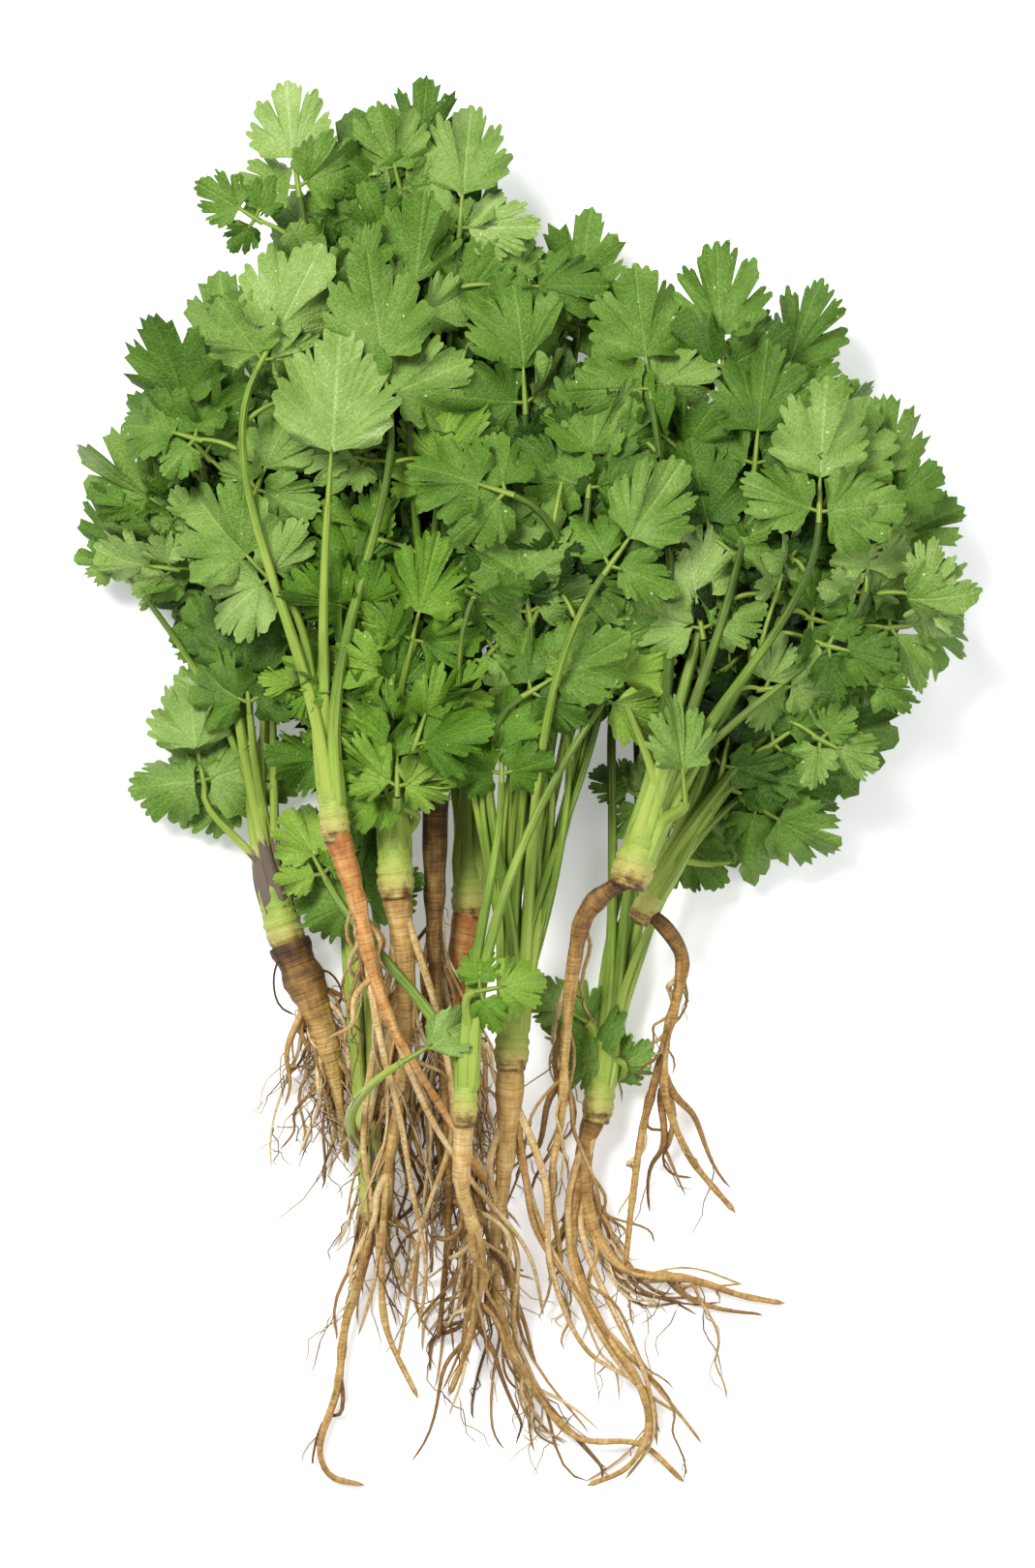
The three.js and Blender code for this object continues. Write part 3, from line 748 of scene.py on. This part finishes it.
def leaf_blade(name, stops, vein_strength, roughness, through):
    """Fresh coriander blade: soft matt green with a pale rib, paired veins and a puckered skin."""
    material, where, tone = start_skin(name)
    add = partial(add_node, material)
    # The rib is 0 across the blade and the neck 0 along it, in leaflet lengths.
    on_blade = add("ShaderNodeMapping", {
        "Vector": where["UV"],
        "Scale": (1 / MAP_WIDTH, 1 / MAP_HEIGHT, 1.0),
        "Location": (-0.5 / MAP_WIDTH, -MAP_FOOT / MAP_HEIGHT, 0.0),
    })
    at = add("ShaderNodeSeparateXYZ", {0: on_blade})
    aside = add("ShaderNodeMath", {0: at}, operation="ABSOLUTE")
    rib = add(
        "ShaderNodeMath", {0: aside, 1: -42.0, 2: 1.0}, operation="MULTIPLY_ADD", use_clamp=True,
    )
    # Paired veins climb outwards from the rib, 5.5 to a leaflet's length.
    gap = add("ShaderNodeMath", {0: aside, 1: -0.85, 2: at.outputs[1]}, operation="MULTIPLY_ADD")
    steps = (("MULTIPLY", 5.5), ("FRACT", 0.0), ("SUBTRACT", 0.5), ("ABSOLUTE", 0.0))
    for operation, second in steps:
        gap = add("ShaderNodeMath", {0: gap, 1: second}, operation=operation)
    branches = add(
        "ShaderNodeMath", {0: gap, 1: -7.8, 2: 0.6}, operation="MULTIPLY_ADD", use_clamp=True,
    )
    veins = add("ShaderNodeMath", {0: rib, 1: branches}, operation="MAXIMUM")
    # Blotches about 12 mm across, puckers about 0.7 mm and a net of tiny veins about 1.3 mm apart.
    blotch = add("ShaderNodeTexNoise", {"Vector": where["Object"], "Scale": 85.0, "Detail": 4.0})
    pucker = add("ShaderNodeTexNoise", {"Vector": where["Object"], "Scale": 1500.0, "Detail": 3.0})
    net = add(
        "ShaderNodeTexVoronoi", {"Vector": where["Object"], "Scale": 780.0},
        feature="DISTANCE_TO_EDGE",
    )
    net = add(
        "ShaderNodeMath", {0: net, 1: -5.0, 2: 1.0}, operation="MULTIPLY_ADD", use_clamp=True,
    )
    # Water beads about 0.7 mm wide stand here and there, 5 mm or more apart. They are painted as lighter
    # specks, painted glints of the water.
    bead = add("ShaderNodeTexVoronoi", {"Vector": where["Object"], "Scale": 190.0})
    chosen = add("ShaderNodeSeparateXYZ", {0: bead.outputs["Color"]})
    chosen = add("ShaderNodeMath", {0: chosen, 1: 0.5}, operation="GREATER_THAN")
    bead_glints = add("ShaderNodeMath", {0: bead, 1: 0.07}, operation="LESS_THAN")
    bead_glints = add("ShaderNodeMath", {0: bead_glints, 1: chosen}, operation="MULTIPLY")
    shade = varied(material, tone, [(blotch, 0.42), (pucker, 0.34)])
    shade = blended(material, shade, [(net, 0.06), (bead_glints, 0.45), (veins, vein_strength)])
    height = blended(material, 0.0, [(veins, -0.8), (net, -0.5), (pucker, 0.5)])
    gloss = {"Roughness": roughness, "IOR": 1.42, "Specular IOR Level": 0.3}
    return close_skin(material, shade, stops, height, (0.6, 0.4 * MM), gloss, through)


def ribbed_stalk():
    """Crisp wet stalk skin: pale green, ribbed lengthwise, with a soft shine."""
    material, where, tone = start_skin("ribbed_stalk_skin")
    # Ribs about 0.7 mm apart run the whole length of the stalk. Its blotches are about 8 mm across.
    streak = drawn_out(material, where, (14.0, 0.035), 3.0)
    blotch = add_node(
        material, "ShaderNodeTexNoise", {"Vector": where["Object"], "Scale": 120.0, "Detail": 3.0},
    )
    # The streaks' pale and dark lines are partly the stalk's own striped green and partly painted
    # highlight lines.
    shade = varied(material, tone, [(streak, 1.1), (blotch, 0.3)])
    # The lowest tone is the purple-grey of an old sheath.
    stops = [
        (0.0, "#6d5f52"), (0.06, "#b0ba64"), (0.22, "#9cac49"),
        (0.48, "#8fa644"), (0.74, "#6a852b"), (1.0, "#405717"),
    ]
    gloss = {"Roughness": 0.42, "IOR": 1.4, "Specular IOR Level": 0.4}
    return close_skin(material, shade, stops, streak, (0.8, 0.8 * MM), gloss)


def crown_skin():
    """Pale knobbly crown: waxy yellow-green, ringed where old leaves stood, browning to the root."""
    material, where, tone = start_skin("ringed_crown_skin")
    # Rings about 1 mm apart run round it, and specks are about 2.4 mm across.
    ring = drawn_out(material, where, (3.0, 1.1), 4.0)
    speck = add_node(
        material, "ShaderNodeTexNoise", {"Vector": where["Object"], "Scale": 420.0, "Detail": 4.0},
    )
    shade = varied(material, tone, [(ring, 0.5), (speck, 0.7)])
    stops = [
        (0.0, "#5d4022"), (0.12, "#94793f"), (0.3, "#b4ab5e"), (0.6, "#a2b04f"), (1.0, "#839e3d"),
    ]
    height = blended(material, 0.0, [(ring, 1.0), (speck, 1.0)])
    gloss = {"Roughness": 0.5, "IOR": 1.4}
    return close_skin(material, shade, stops, height, (0.8, 0.9 * MM), gloss)


def root_bark(name, stops):
    """Dry fibrous root skin: matt tan with lengthwise grain, and wrinkles that run across it."""
    material, where, tone = start_skin(name)
    # The grain runs about 8 mm along the root, the wrinkles stand about 1.3 mm apart across it,
    # and blotches are about 9 mm across.
    grain = drawn_out(material, where, (9.0, 0.12), 5.0)
    wrinkle = drawn_out(material, where, (2.0, 0.8), 4.0, 0.4)
    blotch = add_node(
        material, "ShaderNodeTexNoise", {"Vector": where["Object"], "Scale": 110.0, "Detail": 4.0},
    )
    shade = varied(material, tone, [(grain, 0.75), (wrinkle, 0.6), (blotch, 0.5)])
    height = blended(material, 0.0, [(grain, 1.0), (wrinkle, 1.0)])
    gloss = {"Roughness": 0.72, "IOR": 1.45}
    return close_skin(material, shade, stops, height, (0.9, MM), gloss)


LEAF_TOP = leaf_blade(
    "leaf_blade_top",
    [(0.0, "#112207"), (0.25, "#345516"), (0.5, "#5d8229"), (0.75, "#8eaa57"), (1.0, "#c2d098")],
    0.13, 0.46, 0.1,
)
LEAF_UNDER = leaf_blade(
    "leaf_blade_underside",
    [(0.0, "#4d7030"), (0.5, "#84a557"), (1.0, "#b4cb88")],
    0.2, 0.62, 0.13,
)
YOUNG_TOP = leaf_blade(
    "young_leaf_blade_top",
    [(0.0, "#1d360a"), (0.25, "#3d6214"), (0.5, "#618a24"), (0.75, "#8bab40"), (1.0, "#b8cf74")],
    0.13, 0.48, 0.13,
)
STALK_SKIN = ribbed_stalk()
CROWN_SKIN = crown_skin()
TAPROOT_BARK = root_bark("taproot_bark", [
    (0.0, "#e2c892"), (0.3, "#c29d5c"), (0.55, "#977038"), (0.8, "#634621"), (1.0, "#352412"),
])
RUSTY_BARK = root_bark("rusty_taproot_bark", [
    (0.0, "#e0bf88"), (0.3, "#c89656"), (0.55, "#a96932"), (0.8, "#7c4622"), (1.0, "#412412"),
])
FIBRE_BARK = root_bark("fibrous_root_skin", [
    (0.0, "#ead3a2"), (0.35, "#c6a163"), (0.7, "#99713a"), (1.0, "#593e1e"),
])


# Growing the plants

def sheathed(plant, curve):
    """A stalk's curve, carried down into its crown."""
    axis = way_of(plant["points"])
    middle = np.array(plant["crown"], float)
    foot = between(curve[0], middle, 0.35) - axis * 9
    return np.vstack([bezier([foot, curve[0] - axis * 3, curve[0]], 6)[:-1], curve])


def more_stalks(plant, owner):
    """Curves of the thinner stalks between the main ones, with the leaf at the end of each."""
    grown = []
    axis = way_of(plant["points"])
    middle = np.array(plant["crown"], float)
    for k in range(plant["more_stalks"]):
        number = 8000 + owner * 40 + k
        own = lambda what: draw(number, what)
        first, second = (plant["stalks"][int(own(what) * len(plant["stalks"]))] for what in (1, 2))
        end = between(np.array(first[:3], float), np.array(second[:3], float), own(3))
        end = between(middle, end, between(0.84, 1.05, own(4)))
        end += np.array([between(-14, 14, own(5)), between(-12, 6, own(6)), between(-12, 0, own(7))])
        end[2] = min(max(end[2], 4), 46)
        bearing = between(first[3], second[3], 0.5) + between(-35, 35, own(8))
        ahead = way_of(bearing, between(-0.2, 0.2, own(9)))
        lean = np.array([between(-0.6, 0.6, own(10)), between(-0.7, 0.3, own(11)), 1])
        size = between(19, 27, own(12))
        aside = np.array([axis[1], -axis[0], 0]) * plant["radius"]
        start = middle + axis * 8 + aside * between(-0.7, 0.7, own(13))
        start[2] += plant["radius"] * between(-0.5, 0.35, own(14))
        stop = end - ahead * RIB_LENGTH * size
        reach = np.linalg.norm(stop - start)
        bow = np.array([between(-11, 11, own(15)), 0, between(-4, 4, own(16))])
        second_corner = stop - ahead * reach * 0.25 + bow
        second_corner[2] = max(second_corner[2], LOWEST_LIMB)
        first_corner = start + axis * reach * 0.4 + bow
        curve = bezier([start, first_corner, second_corner, stop], STALK_STEPS)
        curve[:, 2] = np.maximum(curve[:, 2], 1.2)
        grown.append((curve, blade_of(end, ahead, lean, size), number))
    return grown


def add_stalk(piece, plant, curve, radii, sheath, number):
    """One leaf stalk: a ribbed tube that swells into a sheath where it leaves the crown."""
    curve = sheathed(plant, curve)
    length = length_of(curve)
    steps = max(14, int(length / 5))
    run = np.linspace(0, length, steps + 1)
    sizes = between(*radii, run / length) + plant["radius"] * sheath * np.exp(-run / 20)
    sizes[0] = 0
    tones = np.interp(run, [0, 12, 60, 130], [0.26, 0.36, 0.58, 0.76])
    tones = tones + between(-0.12, 0.2, draw(number, 92))
    tones = tones - plant.get("stalks_paler", 0)
    points = spaced(curve, steps)
    if plant is PLANTS["left"]:
        tones = tones - np.interp(run, [0, 16, 32], [0.9, 0.7, 0])
    # Towards and past where the plant's leaves start, its stalks are painted darker, as painted shade
    # under the leaves. The hero's stalks lie on top and get none.
    if plant is not PLANTS["hero"]:
        tones = tones + np.interp(points[:, 1], [plant["leafy"] - 15, plant["leafy"] + 20], [0, 0.25])
    low = -1 if plant is PLANTS["left"] else 0.05
    piece.limb(points, sizes, 15, np.clip(tones, low, 1), ribs=0.08, rib_count=5)


def add_crown(piece, plant):
    """The knob that the stalks leave: ringed low down and narrowing up among their sheaths."""
    steps = 40
    share = np.linspace(0, 1, steps + 1)
    axis = way_of(plant["points"])
    middle = np.array(plant["crown"], float)
    curve = np.array([middle - axis * 10.5, middle + axis * 15])
    profile = np.interp(
        share,
        [0, 0.06, 0.2, 0.34, 0.5, 0.72, 0.9, 1],
        [0.66, 0.84, 0.95, 0.92, 0.84, 0.7, 0.5, 0.3],
    )
    radii = plant["radius"] * profile
    radii = radii * (1 + 0.035 * np.sin(share * 60) * (share < 0.6) + 0.025 * np.sin(share * 37 + 1))
    radii[0] = radii[-1] = 0
    tones = np.clip(share * 1.5, 0, 0.85)
    piece.limb(spaced(curve, steps), radii, 22, tones, ribs=0.03, rib_count=4)


def twig_leaf(place, ahead, lean, reach, size):
    """A small leaf, and the short side stalk on which it leaves a main stalk."""
    at = place + ahead * (reach + RIB_LENGTH * size)
    at[2] = min(max(at[2], 3), 59)
    end = at - ahead * RIB_LENGTH * size
    path = spaced(bezier([place, between(place, end, 0.5) + np.array([0, 2, 2.0]), end], 12), 6)
    return blade_of(at, ahead, lean, size), path


def side_leaves(plant, owner, curves):
    """Leaves on short stalks lower down each main stalk, which fill the head of the bunch."""
    small = 0.85 if plant is PLANTS["frill"] else 1
    found = []
    for index, curve in enumerate(curves):
        length = length_of(curve)
        hand = 1 if index % 2 else -1
        back = 15
        k = 0
        while back < length * 0.75:
            number = 1000 + owner * 600 + index * 30 + k
            own = lambda what: draw(number, what)
            place, way = point_at(curve, 1 - back / length)
            back += between(8, 15, own(88))
            k += 1
            hand = -hand
            if place[1] < plant["leafy"]:
                continue
            lean = np.array([between(-1.1, 1.1, own(82)), between(-1.2, 0.5, own(83)), 1])
            ahead = turned(way, np.array([0, 0, 1.0]), hand * math.radians(between(15, 85, own(81))))
            ahead = unit(ahead * np.array([1, 1, 0.4]) + np.array([0, 0, between(-0.4, 0.4, own(84))]))
            size = between(13, 23, own(86)) * small
            place = place - np.array([0, 0, 1.5 if place[2] > 44 else 0])
            ahead = unit(ahead - np.array([0, 0, 0.45 if place[2] > 42 else 0]))
            found.append((*twig_leaf(place, ahead, lean, between(6, 17, own(85)), size), number))
    return found


def cover_of(places):
    """How many leaves lie over each one, and how open its surroundings are, from 0 to 1."""
    gap = places[None, :] - places[:, None]
    across = np.linalg.norm(gap[:, :, :2], axis=2)
    cover = ((across < COVERS_WITHIN) & (gap[:, :, 2] > 1.5)).sum(axis=1)
    # Leaves near the outline have their neighbours all on one side.
    near = (across < NEIGHBOURS_WITHIN)[:, :, None]
    lopsided = np.linalg.norm((gap[:, :, :2] * near).sum(axis=1) / near.sum(axis=1), axis=1)
    return cover, np.clip((lopsided - 5) / 7, 0, 1)


def add_taproots(piece, plant):
    """Taproots and forks, wrinkled, with small bends and swellings."""
    top, tip = plant["root_tones"]
    for fork, points in enumerate(plant["roots"]):
        if fork == 0:
            foot = np.array(plant["crown"], float) - way_of(plant["points"]) * 6
            near = np.linalg.norm(foot - np.array(points[0], float)) < 6
            points = [tuple(foot), *points[1 if near else 0:]]
        curve = smooth_route(points)
        steps = max(24, int(length_of(curve) / 2.2))
        points = spaced(curve, steps)
        share = np.linspace(0, 1, steps + 1)
        thick = root_thickness(plant, fork)
        run = share * length_of(curve)
        thin = between(min(1.5, thick), 0.75, share)
        top_radius = thick if fork else plant["root_top"]
        radii = thin + (top_radius - thin[0]) * np.exp(-((run / 38) ** plant.get("taper", 1.5)))
        key = int(points[0][0] * 3 + points[0][1])
        for k in range(6):
            radii = radii * (1 + 0.045 * np.sin(share * (17 + 13 * k) + FULL_TURN * draw(key, 90 + k)))
        radii[0] = radii[-1] = 0
        tones = between(top, tip, np.clip(share * 2.2, 0, 1))
        piece.limb(points, radii, 14, tones, ribs=0.06, rib_count=4)


def kept_in(curve):
    """Draws a curve in where it would pass the bunch's far end or the surface."""
    curve = curve.copy()
    start, least = curve[0, 1], curve[:, 1].min()
    if least < FURTHEST_ROOT:
        curve[:, 1] = start + (curve[:, 1] - start) * (FURTHEST_ROOT - start) / (least - start)
    curve[:, 2] = np.maximum(curve[:, 2], 0.7)
    return curve


def side_root_curve(plant, number):
    """A thin side root, trailing from a taproot towards the surface."""
    taproot = spaced(smooth_route(plant["roots"][0]), FINE_STEPS)
    place = taproot[int(round(FINE_STEPS * between(0.1, 0.75, draw(number, 60))))]
    way = way_of(180 + between(-42, 42, draw(number, 61)), between(-0.5, 0.1, draw(number, 62)))
    length = between(22, 62, draw(number, 63))
    middle = place + way * length * 0.5
    end = place + way * length * 0.75
    end += np.array([between(-9, 9, draw(number, 64)), -length * 0.25, -length * 0.15])
    middle[2] = max(middle[2], LOWEST_LIMB)
    end[2] = max(end[2], LOWEST_LIMB)
    return bezier([place, middle, end], 16)


def trailing_root_curve(plant, number):
    """A long thin root that trails beside a taproot and wanders off it."""
    forked = len(plant["roots"]) > 1 and number % 3 == 0
    taproot = spaced(smooth_route(plant["roots"][1 if forked else 0]), FINE_STEPS)
    first = int(FINE_STEPS * between(0.03, 0.55, draw(number, 60)))
    reach = int(FINE_STEPS * between(0.25, 0.6, draw(number, 63)))
    last = min(first + reach, FINE_STEPS if forked else 47)
    stretch = taproot[first:last + 1]
    if len(stretch) < 6:
        stretch = taproot[-12:]
    share = np.linspace(0, 1, len(stretch))[:, None]
    drift = np.array([between(-17, 17, draw(number, 61)), between(-14, 6, draw(number, 64)), 0])
    sink = np.array([0, 0, -stretch[0, 2] * between(0.2, 0.9, draw(number, 62))])
    return stretch + drift * share ** 1.3 + sink * share


def wiggled(curve, number, size, steps):
    """A curve with small natural bends, none at its start."""
    points = spaced(curve, steps)
    share = np.linspace(0, 1, steps + 1)
    for axis in (0, 1, 2):
        waves = between(5, 13, draw(number, 100 + axis))
        bends = np.sin(share * waves + FULL_TURN * draw(number, 103 + axis))
        points[:, axis] += size * (0.5 if axis == 2 else 1) * bends * np.minimum(share * 3, 1)
    return kept_in(points)


def add_fibrous_roots(piece, plant, owner):
    """Side roots and trailing roots, and finer ones that branch from them."""
    side, trailing, hairs = plant["fibres"]
    for k, route in enumerate(plant.get("strands", [])):
        number = 9000 + owner * 10 + k
        points = wiggled(smooth_route(route), number, 1.2, 40)
        radii = between(between(1.0, 1.5, draw(number, 66)), 0.45, np.linspace(0, 1, 41))
        radii[0] = radii[-1] = 0
        piece.limb(points, radii, 8, between(0.15, 0.6, draw(number, 67)))
    for route in plant.get("curls", []):
        radii = np.array([0, *[0.34] * 11, 0])
        piece.limb(spaced(smooth_route(route), 12), radii, 6, 1.5)
    for attempt in range(side + trailing):
        number = owner * 100 + attempt
        trails = attempt >= side
        curve = (trailing_root_curve if trails else side_root_curve)(plant, number)
        points = wiggled(curve, number, 2.2 if trails else 1.4, 16)
        thick = between(0.4, 1.25, draw(number, 66) ** 1.5)
        radii = between(thick, 0.28, np.linspace(0, 1, 17) ** 1.3)
        radii[0] = radii[-1] = 0
        tone = between(0.0, 0.9, draw(number, 67))
        piece.limb(points, radii, 6, tone)
        for k in range(hairs):
            hair = number * 10 + k + 5000
            place = points[4 + int(draw(hair, 1) * 11)]
            way = way_of(180 + between(-50, 50, draw(hair, 2)), between(-0.5, 0.4, draw(hair, 3)))
            reach = between(7, 24, draw(hair, 4))
            bend = way_of(180 + between(-70, 70, draw(hair, 5)), -0.2)
            half = place + way * reach * 0.5
            path = bezier([place, half, half + bend * reach * 0.6], 8)
            path = wiggled(path, hair, 1.1, 7)
            piece.limb(path, np.array([0, 0.2, 0.19, 0.18, 0.17, 0.15, 0.12, 0.0]), 4, draw(hair, 6))


def grow():
    """All eleven plants."""
    main_curves = lay_stalks()
    parts = []
    grown = []
    for owner, (name, plant) in enumerate(PLANTS.items()):
        leaves, stems, crown = Piece(), Piece(), Piece()
        parts.append((name, leaves, stems, crown))
        add_crown(crown, plant)
        curves = list(main_curves[owner])
        for index, stalk in enumerate(plant["stalks"]):
            add_stalk(stems, plant, curves[index], STALK_RADII, 0.2, owner * 10 + index)
            blade = leaf_of(stalk)
            blade["length"] *= 1 if blade["alone"] else 0.87
            grown.append((owner, blade, owner * 10 + index))
        for curve, blade, number in more_stalks(plant, owner):
            add_stalk(stems, plant, curve, (1.25, 0.75), 0.14, number)
            grown.append((owner, blade, number))
            curves.append(curve)
        for blade, path, number in side_leaves(plant, owner, curves):
            stems.limb(path, np.array([0, 0.78, 0.74, 0.7, 0.66, 0.62, 0.6]), 6, 0.55)
            grown.append((owner, blade, number))
    covers = cover_of(np.array([blade["at"] for _, blade, _ in grown]))
    for (owner, blade, number), cover, edge in zip(grown, *covers):
        name, leaves, stems, _ = parts[owner]
        # Leaves with little over them have more faces. The more leaves lie over one, the darker it is
        # painted, as painted shade. Leaves above 54 mm are lighter. Those near the outline, the low ones
        # most, are painted lighter, as painted light that keeps them from going dark in the shadow of
        # the others.
        detail = 2 if cover < 2 else 1 if cover < 6 else 0
        low = float(np.interp(blade["at"][2], [14, 32], [1, 0]))
        tone = float(np.interp(cover, [0, 1.5, 3, 6], [0.46, 0.27, 0.06, -0.14]))
        tone += between(-0.26, 0.28, draw(number, 90)) + (0.28 if draw(number, 91) > 0.92 else 0)
        tone += PLANTS[name].get("paler", 0) + (0.1 if blade["at"][2] > 54 else 0)
        tone = min(max(tone, 0.4 * edge) + 0.12 * edge * low, 0.6)
        tone += 0.12 if blade["alone"] and name == "hero" else 0
        add_leaf(leaves, stems, blade, number, tone, detail, name == "frill")
    for owner, (name, leaves, stems, crown) in enumerate(parts):
        shoot, root = name + "_shoot", name + "_root"
        top = YOUNG_TOP if name in ("frill", "front") else LEAF_TOP
        leaves.finish(name + "_leaves", [top, LEAF_UNDER], shoot, "shoot_green")
        stems.finish(name + "_stalks", [STALK_SKIN], shoot, "shoot_green")
        crown.finish(name + "_crown", [CROWN_SKIN], shoot, "shoot_green")
        taproots, fibres = Piece(), Piece()
        add_taproots(taproots, PLANTS[name])
        add_fibrous_roots(fibres, PLANTS[name], owner)
        bark = RUSTY_BARK if name in ("hero", "base") else TAPROOT_BARK
        taproots.finish(name + "_taproot", [bark], root, "root_tan")
        fibres.finish(name + "_fibrous_roots", [FIBRE_BARK], root, "root_tan")


# Stage, light and camera

def lay_floor():
    """A plain white board with no gloss."""
    bpy.ops.mesh.primitive_plane_add(size=8, location=(0, 0, 0))
    floor = bpy.context.object
    floor.name = "floor"
    material = new_material("matt_white_board")
    board = add_node(material, "ShaderNodeBsdfDiffuse", {"Color": (0.9, 0.9, 0.9, 1)})
    glow = add_node(material, "ShaderNodeEmission", {"Color": (1, 1, 1, 1), "Strength": 0.28})
    both = add_node(material, "ShaderNodeAddShader", {0: board, 1: glow})
    add_node(material, "ShaderNodeOutputMaterial", {"Surface": both})
    floor.data.materials.append(material)


def add_light(name, place, size, power):
    """A square soft box aimed at the middle of the bunch."""
    light = bpy.data.lights.new(name, "AREA")
    light.shape = "SQUARE"
    light.size = size
    light.energy = power
    holder = bpy.data.objects.new(name, light)
    holder.location = place
    aim = Vector((0.01, 0.03, 0.02)) - Vector(place)
    holder.rotation_euler = aim.to_track_quat("-Z", "Y").to_euler()
    bpy.context.scene.collection.objects.link(holder)


FRAME_HEIGHT = 1620 * 0.27 * MM  # the photograph's height at 0.27 mm a pixel
CAMERA_DISTANCE = 1.6
PICTURE_CENTRE = (0.0134, 0.0284)
PICTURE_PLANE = 0.04  # height at which that scale holds


def aim_camera():
    """Straight down, far enough back for little perspective."""
    camera = bpy.data.cameras.new("camera")
    camera.sensor_width = 36
    camera.lens = 36 * CAMERA_DISTANCE / FRAME_HEIGHT
    holder = bpy.data.objects.new("camera", camera)
    holder.location = (*PICTURE_CENTRE, PICTURE_PLANE + CAMERA_DISTANCE)
    bpy.context.scene.collection.objects.link(holder)
    bpy.context.scene.camera = holder


def light_studio():
    world = bpy.data.worlds.new("pale_studio")
    world.use_nodes = True
    world.node_tree.nodes["Background"].inputs["Color"].default_value = (0.95, 0.98, 1.0, 1)
    world.node_tree.nodes["Background"].inputs["Strength"].default_value = 0.41
    bpy.context.scene.world = world
    add_light("key_softbox", (-0.5, 0.65, 1.15), 0.5, 22)
    add_light("fill_softbox", (0.8, -0.3, 1.0), 1.0, 7.5)
    bpy.context.scene.view_settings.view_transform = "Standard"


aim_camera()
light_studio()
lay_floor()
grow()
